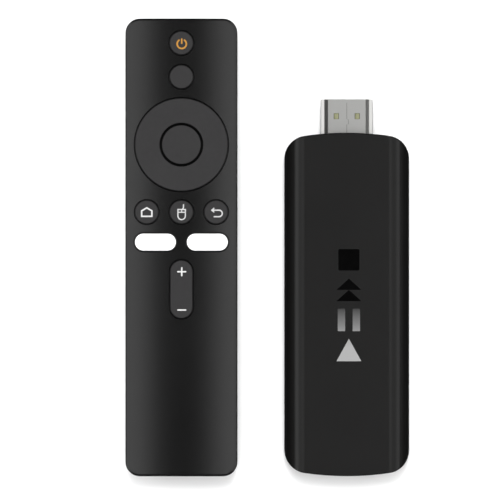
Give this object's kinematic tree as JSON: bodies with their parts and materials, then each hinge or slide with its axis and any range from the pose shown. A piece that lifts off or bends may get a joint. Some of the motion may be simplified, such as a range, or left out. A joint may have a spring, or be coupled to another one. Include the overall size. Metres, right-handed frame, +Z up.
{
  "type": "streaming media player",
  "caption": "Slim television streaming stick with a fixed display plug at one end, beside its long narrow push-button remote control, both lying face up.",
  "frame": {"origin": "on the table, at the centre of the pair's footprint", "axes": "+X from the remote to the stick, +Y towards the stick's plug and the remote's sending end, +Z up out of both faces"},
  "size_m": [0.0756, 0.1218, 0.016],
  "materials": {
    "casing_plastic": "fine satin grain, black",
    "remote_casing_plastic": "fine satin grain, black",
    "key_plastic": "matte dark grey",
    "app_key_plastic": "satin white",
    "window_plastic": "polished, nearly black",
    "clear_plastic": "translucent",
    "black_nylon": "moulded, black",
    "plated_steel": "nickel-plated",
    "gold_contact": "gold-plated",
    "aluminium": "bare",
    "circuit_board": "green solder mask",
    "chip_epoxy": "black epoxy",
    "silicone": "grey silicone",
    "cell_jacket": "plain printed jacket"
  },
  "bodies": {
    "player": {"stick_top_shell": "casing_plastic", "stick_bottom_shell": "casing_plastic", "hdmi_shell": "plated_steel", "hdmi_insulator": "black_nylon", "hdmi_contacts_upper": "gold_contact", "hdmi_contacts_lower": "gold_contact", "usb_shell": "plated_steel", "usb_tongue": "black_nylon", "main_board": "circuit_board", "processor": "chip_epoxy", "thermal_pad": "silicone", "heat_spreader": "aluminium", "memory_chip_1": "chip_epoxy", "memory_chip_2": "chip_epoxy", "flash_chip": "chip_epoxy", "wifi_module": "plated_steel", "wifi_antenna": "gold_contact", "antenna_lead": "black_nylon", "power_inductor": "chip_epoxy", "crystal": "plated_steel", "status_light": "clear_plastic", "light_pipe": "clear_plastic", "reset_switch": "plated_steel", "board_screw_1": "plated_steel", "board_screw_2": "plated_steel"},
    "reset_button": {"reset_button": "key_plastic"},
    "remote": {"remote_top_shell": "remote_casing_plastic", "remote_bottom_shell": "remote_casing_plastic", "ir_window": "window_plastic", "rubber_sheet": "silicone", "key_board": "circuit_board", "controller_chip": "chip_epoxy", "timing_crystal": "plated_steel", "ir_led": "window_plastic", "battery_1": "cell_jacket", "battery_2": "cell_jacket", "battery_spring_1": "plated_steel", "battery_spring_2": "plated_steel", "battery_link": "plated_steel", "positive_contact": "plated_steel", "negative_contact": "plated_steel", "fixing_screw_1": "plated_steel", "fixing_screw_2": "plated_steel", "fixing_screw_3": "plated_steel", "fixing_screw_4": "plated_steel"},
    "battery_cover": {"battery_cover": "remote_casing_plastic"},
    "power_key": {"power_key": "key_plastic"},
    "voice_key": {"voice_key": "key_plastic"},
    "ok_key": {"ok_key": "key_plastic"},
    "home_key": {"home_key": "key_plastic"},
    "pointer_key": {"pointer_key": "key_plastic"},
    "back_key": {"back_key": "key_plastic"},
    "left_app_key": {"left_app_key": "app_key_plastic"},
    "right_app_key": {"right_app_key": "app_key_plastic"},
    "volume_rocker": {"volume_rocker": "key_plastic"},
    "dpad_rubber": {"dpad_rubber": "silicone"},
    "dpad_ring": {"dpad_ring": "key_plastic"}
  },
  "joints": [
    {"name": "reset_press", "type": "slide", "parent": "player", "child": "reset_button", "axis": [-1, 0, 0], "range_m": [0, 0.00035], "stiffness_N_per_m": 900},
    {"name": "remote_lift", "type": "slide", "parent": "player", "child": "remote", "axis": [0, 0, 1], "range_m": [0, 0.12]},
    {"name": "battery_cover_slide", "type": "slide", "parent": "remote", "child": "battery_cover", "axis": [0, -1, 0], "range_m": [0, 0.055]},
    {"name": "power_press", "type": "slide", "parent": "remote", "child": "power_key", "axis": [0, 0, -1], "range_m": [0, 0.00045], "stiffness_N_per_m": 800, "deforming": ["rubber_sheet"]},
    {"name": "voice_press", "type": "slide", "parent": "remote", "child": "voice_key", "axis": [0, 0, -1], "range_m": [0, 0.00045], "stiffness_N_per_m": 800, "deforming": ["rubber_sheet"]},
    {"name": "ok_press", "type": "slide", "parent": "remote", "child": "ok_key", "axis": [0, 0, -1], "range_m": [0, 0.00045], "stiffness_N_per_m": 800, "deforming": ["rubber_sheet"]},
    {"name": "home_press", "type": "slide", "parent": "remote", "child": "home_key", "axis": [0, 0, -1], "range_m": [0, 0.00045], "stiffness_N_per_m": 800, "deforming": ["rubber_sheet"]},
    {"name": "pointer_press", "type": "slide", "parent": "remote", "child": "pointer_key", "axis": [0, 0, -1], "range_m": [0, 0.00045], "stiffness_N_per_m": 800, "deforming": ["rubber_sheet"]},
    {"name": "back_press", "type": "slide", "parent": "remote", "child": "back_key", "axis": [0, 0, -1], "range_m": [0, 0.00045], "stiffness_N_per_m": 800, "deforming": ["rubber_sheet"]},
    {"name": "left_app_press", "type": "slide", "parent": "remote", "child": "left_app_key", "axis": [0, 0, -1], "range_m": [0, 0.00045], "stiffness_N_per_m": 800, "deforming": ["rubber_sheet"]},
    {"name": "right_app_press", "type": "slide", "parent": "remote", "child": "right_app_key", "axis": [0, 0, -1], "range_m": [0, 0.00045], "stiffness_N_per_m": 800, "deforming": ["rubber_sheet"]},
    {"name": "volume_rock", "type": "hinge", "parent": "remote", "child": "volume_rocker", "pos_m": [-0.02293, -0.01115, 0.01335], "axis": [1, 0, 0], "range_deg": [-2.5, 2.5], "stiffness_Nm_per_rad": 0.18},
    {"name": "dpad_up_down", "type": "hinge", "parent": "remote", "child": "dpad_rubber", "pos_m": [-0.02293, 0.02733, 0.01355], "axis": [1, 0, 0], "range_deg": [-1.6, 1.6], "stiffness_Nm_per_rad": 0.48},
    {"name": "dpad_side_to_side", "type": "hinge", "parent": "dpad_rubber", "child": "dpad_ring", "pos_m": [-0.02293, 0.02733, 0.01355], "axis": [0, 1, 0], "range_deg": [-1.6, 1.6], "stiffness_Nm_per_rad": 0.48}
  ]
}
